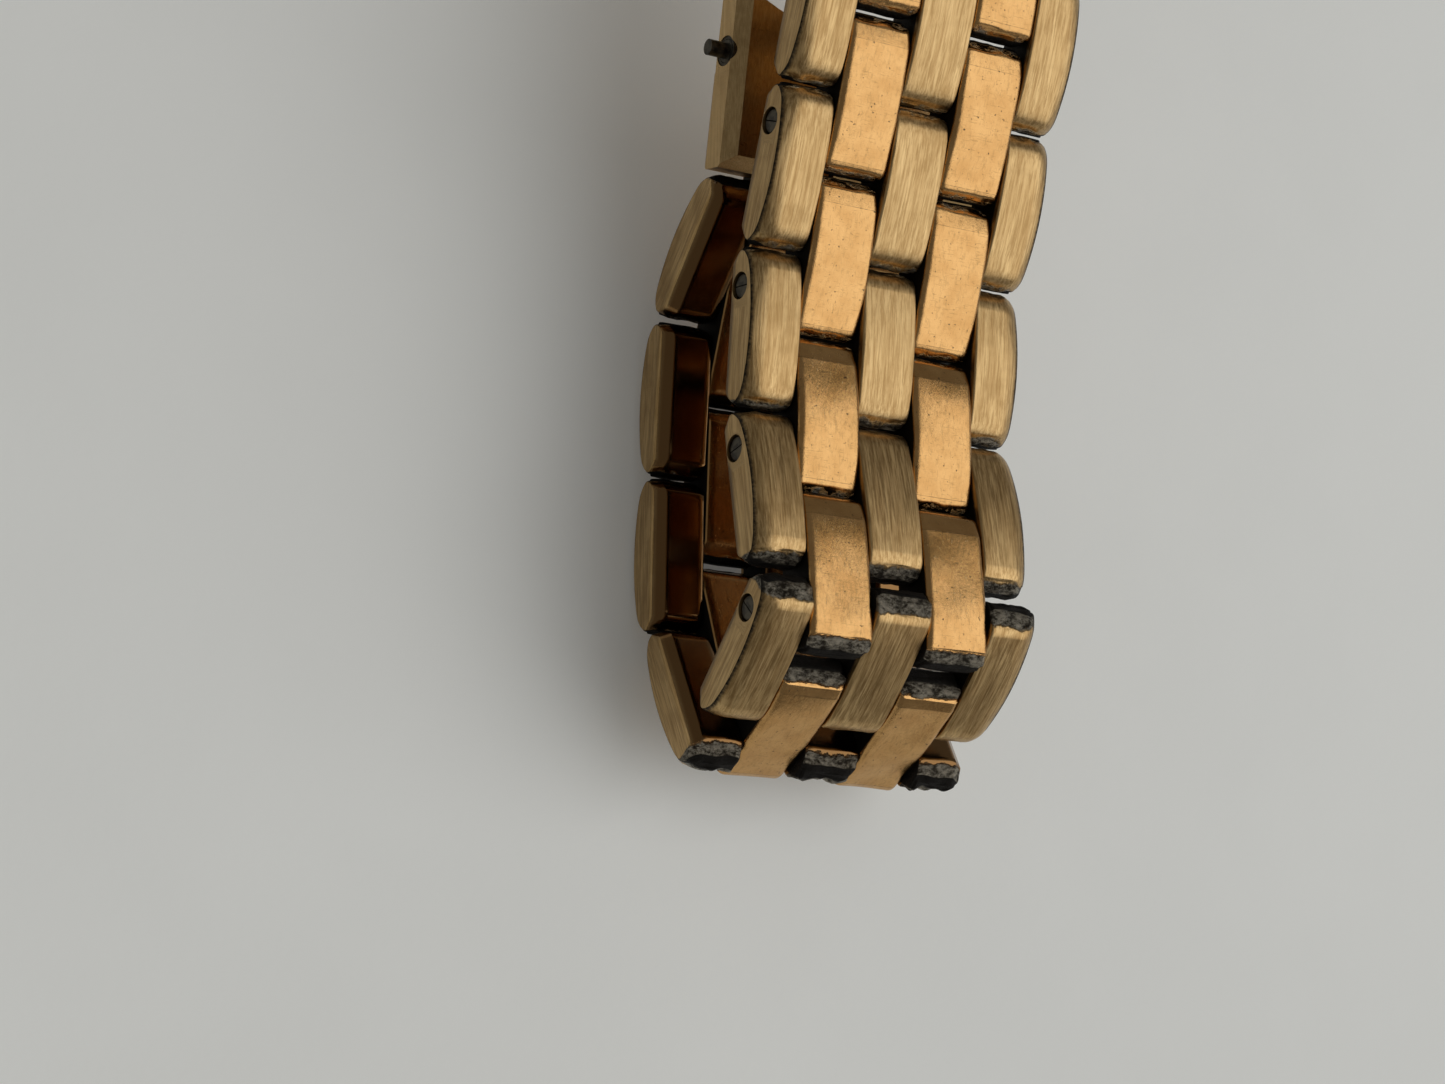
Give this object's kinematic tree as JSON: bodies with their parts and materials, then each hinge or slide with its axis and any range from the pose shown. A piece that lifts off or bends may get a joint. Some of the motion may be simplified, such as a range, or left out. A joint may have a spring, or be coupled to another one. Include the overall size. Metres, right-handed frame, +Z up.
{
  "type": "wristwatch link bracelet",
  "caption": "Gold-tone five-column link bracelet for a wristwatch, with brushed and polished rows on hinge pins, end links on spring bars and a fold-over clasp.",
  "frame": {"origin": "on the surface that the bracelet lies on, under the centre of its bounding box", "axes": "+Z up from that surface, X along every hinge pin and across the bracelet, +Y along the chain from the tight fold towards the clasp"},
  "size_m": [0.0178, 0.0844, 0.0178],
  "materials": {
    "brushed_gold": "brushed lengthwise, worn",
    "polished_gold": "polished, scuffed",
    "clasp_gold": "brushed lengthwise, worn",
    "pin_steel": "dull, dark with grime"
  },
  "bodies": {
    "clasp_cover": {"clasp_cover": "clasp_gold", "clasp_cover_pin": "pin_steel", "clasp_near_pin": "pin_steel"},
    "clasp_middle": {"clasp_middle_blade": "clasp_gold"},
    "clasp_base": {"clasp_base_blade": "clasp_gold", "clasp_catch_stud": "pin_steel", "clasp_blade_pin": "pin_steel", "clasp_far_pin": "pin_steel"},
    "near_end": {"near_end_link": "brushed_gold", "near_end_pin": "pin_steel", "near_spring_bar": "pin_steel"},
    "near_tip_left": {"near_tip_left": "pin_steel"},
    "near_tip_right": {"near_tip_right": "pin_steel"},
    "far_end": {"far_end_link": "brushed_gold", "far_end_pin": "pin_steel", "far_spring_bar": "pin_steel"},
    "far_tip_left": {"far_tip_left": "pin_steel"},
    "far_tip_right": {"far_tip_right": "pin_steel"},
    "brushed_01": {"brushed_row_01": "brushed_gold", "row_pins_01": "pin_steel"},
    "brushed_02": {"brushed_row_02": "brushed_gold", "row_pins_02": "pin_steel"},
    "brushed_03": {"brushed_row_03": "brushed_gold", "row_pins_03": "pin_steel"},
    "brushed_04": {"brushed_row_04": "brushed_gold", "row_pins_04": "pin_steel"},
    "brushed_05": {"brushed_row_05": "brushed_gold", "row_pins_05": "pin_steel"},
    "brushed_06": {"brushed_row_06": "brushed_gold", "row_pins_06": "pin_steel"},
    "brushed_07": {"brushed_row_07": "brushed_gold", "row_pins_07": "pin_steel"},
    "brushed_08": {"brushed_row_08": "brushed_gold", "row_pins_08": "pin_steel"},
    "brushed_09": {"brushed_row_09": "brushed_gold", "row_pins_09": "pin_steel"},
    "brushed_10": {"brushed_row_10": "brushed_gold", "row_pins_10": "pin_steel"},
    "brushed_11": {"brushed_row_11": "brushed_gold", "row_pins_11": "pin_steel"},
    "brushed_12": {"brushed_row_12": "brushed_gold", "row_pins_12": "pin_steel"},
    "polished_01": {"polished_row_01": "polished_gold"},
    "polished_02": {"polished_row_02": "polished_gold"},
    "polished_03": {"polished_row_03": "polished_gold"},
    "polished_04": {"polished_row_04": "polished_gold"},
    "polished_05": {"polished_row_05": "polished_gold"},
    "polished_06": {"polished_row_06": "polished_gold"},
    "polished_07": {"polished_row_07": "polished_gold"},
    "polished_08": {"polished_row_08": "polished_gold"},
    "polished_09": {"polished_row_09": "polished_gold"},
    "polished_10": {"polished_row_10": "polished_gold"},
    "polished_11": {"polished_row_11": "polished_gold"},
    "polished_12": {"polished_row_12": "polished_gold"},
    "polished_13": {"polished_row_13": "polished_gold"},
    "polished_14": {"polished_row_14": "polished_gold"}
  },
  "joints": [
    {"name": "clasp_cover_hinge", "type": "hinge", "parent": "clasp_cover", "child": "clasp_middle", "pos_m": [0, 0.02714, 0.01617], "axis": [1, 0, 0], "range_deg": [0, 65]},
    {"name": "clasp_blade_hinge", "type": "hinge", "parent": "clasp_middle", "child": "clasp_base", "pos_m": [0, 0.00594, 0.01537], "axis": [-1, 0, 0], "range_deg": [0, 95]},
    {"name": "near_pin_01", "type": "hinge", "parent": "clasp_cover", "child": "polished_10", "pos_m": [0, -0.00026, 0.01612], "axis": [-1, 0, 0], "range_deg": [-11, 24]},
    {"name": "near_pin_02", "type": "hinge", "parent": "polished_10", "child": "brushed_09", "pos_m": [0, -0.0042, 0.01542], "axis": [-1, 0, 0], "range_deg": [-60, 34]},
    {"name": "near_pin_03", "type": "hinge", "parent": "brushed_09", "child": "polished_09", "pos_m": [0, -0.00795, 0.01405], "axis": [1, 0, 0], "range_deg": [-24, 48]},
    {"name": "near_pin_04", "type": "hinge", "parent": "polished_09", "child": "brushed_08", "pos_m": [0, -0.01171, 0.01269], "axis": [-1, 0, 0], "range_deg": [-29, 24]},
    {"name": "near_pin_05", "type": "hinge", "parent": "brushed_08", "child": "polished_08", "pos_m": [0, -0.01547, 0.01132], "axis": [-1, 0, 0], "range_deg": [-19, 21]},
    {"name": "near_pin_06", "type": "hinge", "parent": "polished_08", "child": "brushed_07", "pos_m": [0, -0.0193, 0.01015], "axis": [1, 0, 0], "range_deg": [-12, 14]},
    {"name": "near_pin_07", "type": "hinge", "parent": "brushed_07", "child": "polished_07", "pos_m": [0, -0.02328, 0.0098], "axis": [1, 0, 0], "range_deg": [-18, 10]},
    {"name": "near_pin_08", "type": "hinge", "parent": "polished_07", "child": "brushed_06", "pos_m": [0, -0.02728, 0.00987], "axis": [-1, 0, 0], "range_deg": [-8, 13]},
    {"name": "near_pin_09", "type": "hinge", "parent": "brushed_06", "child": "polished_06", "pos_m": [0, -0.03119, 0.0107], "axis": [1, 0, 0], "range_deg": [-30, 6]},
    {"name": "near_pin_10", "type": "hinge", "parent": "polished_06", "child": "brushed_05", "pos_m": [0, -0.03517, 0.01112], "axis": [-1, 0, 0], "range_deg": [-5, 73]},
    {"name": "near_pin_11", "type": "hinge", "parent": "brushed_05", "child": "polished_05", "pos_m": [0, -0.0381, 0.00839], "axis": [-1, 0, 0], "range_deg": [-4, 38]},
    {"name": "near_pin_12", "type": "hinge", "parent": "polished_05", "child": "brushed_04", "pos_m": [0, -0.04028, 0.00504], "axis": [-1, 0, 0], "range_deg": [-2, 115]},
    {"name": "near_pin_13", "type": "hinge", "parent": "brushed_04", "child": "polished_04", "pos_m": [0, -0.03681, 0.00304], "axis": [-1, 0, 0], "range_deg": [-4, 32]},
    {"name": "near_pin_14", "type": "hinge", "parent": "polished_04", "child": "brushed_03", "pos_m": [0, -0.0331, 0.00154], "axis": [-1, 0, 0], "range_deg": [-5, 46]},
    {"name": "near_pin_15", "type": "hinge", "parent": "brushed_03", "child": "polished_03", "pos_m": [0, -0.0291, 0.00154], "axis": [-1, 0, 0], "range_deg": [-6, 26]},
    {"name": "near_pin_16", "type": "hinge", "parent": "polished_03", "child": "brushed_02", "pos_m": [0, -0.02511, 0.00168], "axis": [-1, 0, 0], "range_deg": [-8, 26]},
    {"name": "near_pin_17", "type": "hinge", "parent": "brushed_02", "child": "polished_02", "pos_m": [0, -0.02112, 0.00196], "axis": [1, 0, 0], "range_deg": [-40, 11]},
    {"name": "near_pin_18", "type": "hinge", "parent": "polished_02", "child": "brushed_01", "pos_m": [0, -0.01736, 0.00333], "axis": [-1, 0, 0], "range_deg": [-14, 46]},
    {"name": "near_pin_19", "type": "hinge", "parent": "brushed_01", "child": "polished_01", "pos_m": [0, -0.01438, 0.006], "axis": [-1, 0, 0], "range_deg": [-19, 8]},
    {"name": "near_pin_20", "type": "hinge", "parent": "polished_01", "child": "near_end", "pos_m": [0, -0.01079, 0.00776], "axis": [1, 0, 0], "range_deg": [-8, 31]},
    {"name": "far_pin_01", "type": "hinge", "parent": "clasp_base", "child": "polished_11", "pos_m": [0, 0.03374, 0.01612], "axis": [-1, 0, 0], "range_deg": [-39, 10]},
    {"name": "far_pin_02", "type": "hinge", "parent": "polished_11", "child": "brushed_10", "pos_m": [0, 0.03737, 0.01443], "axis": [-1, 0, 0], "range_deg": [-6, 14]},
    {"name": "far_pin_03", "type": "hinge", "parent": "brushed_10", "child": "polished_12", "pos_m": [0, 0.03994, 0.01136], "axis": [-1, 0, 0], "range_deg": [-54, 12]},
    {"name": "far_pin_04", "type": "hinge", "parent": "polished_12", "child": "brushed_11", "pos_m": [0, 0.04063, 0.00742], "axis": [-1, 0, 0], "range_deg": [-54, 12]},
    {"name": "far_pin_05", "type": "hinge", "parent": "brushed_11", "child": "polished_13", "pos_m": [0, 0.03927, 0.00366], "axis": [1, 0, 0], "range_deg": [-14, 64]},
    {"name": "far_pin_06", "type": "hinge", "parent": "polished_13", "child": "brushed_12", "pos_m": [0, 0.0358, 0.00166], "axis": [-1, 0, 0], "range_deg": [-79, 20]},
    {"name": "far_pin_07", "type": "hinge", "parent": "brushed_12", "child": "polished_14", "pos_m": [0, 0.03218, 0.00335], "axis": [1, 0, 0], "range_deg": [-60, 44]},
    {"name": "far_pin_08", "type": "hinge", "parent": "polished_14", "child": "far_end", "pos_m": [0, 0.02935, 0.00618], "axis": [1, 0, 0], "range_deg": [-60, 9]},
    {"name": "near_tip_left_press", "type": "slide", "parent": "near_end", "child": "near_tip_left", "axis": [1, 0, 0], "range_m": [0, 0.0009]},
    {"name": "near_tip_right_press", "type": "slide", "parent": "near_end", "child": "near_tip_right", "axis": [-1, 0, 0], "range_m": [0, 0.0009]},
    {"name": "far_tip_left_press", "type": "slide", "parent": "far_end", "child": "far_tip_left", "axis": [1, 0, 0], "range_m": [0, 0.0009]},
    {"name": "far_tip_right_press", "type": "slide", "parent": "far_end", "child": "far_tip_right", "axis": [-1, 0, 0], "range_m": [0, 0.0009]}
  ]
}
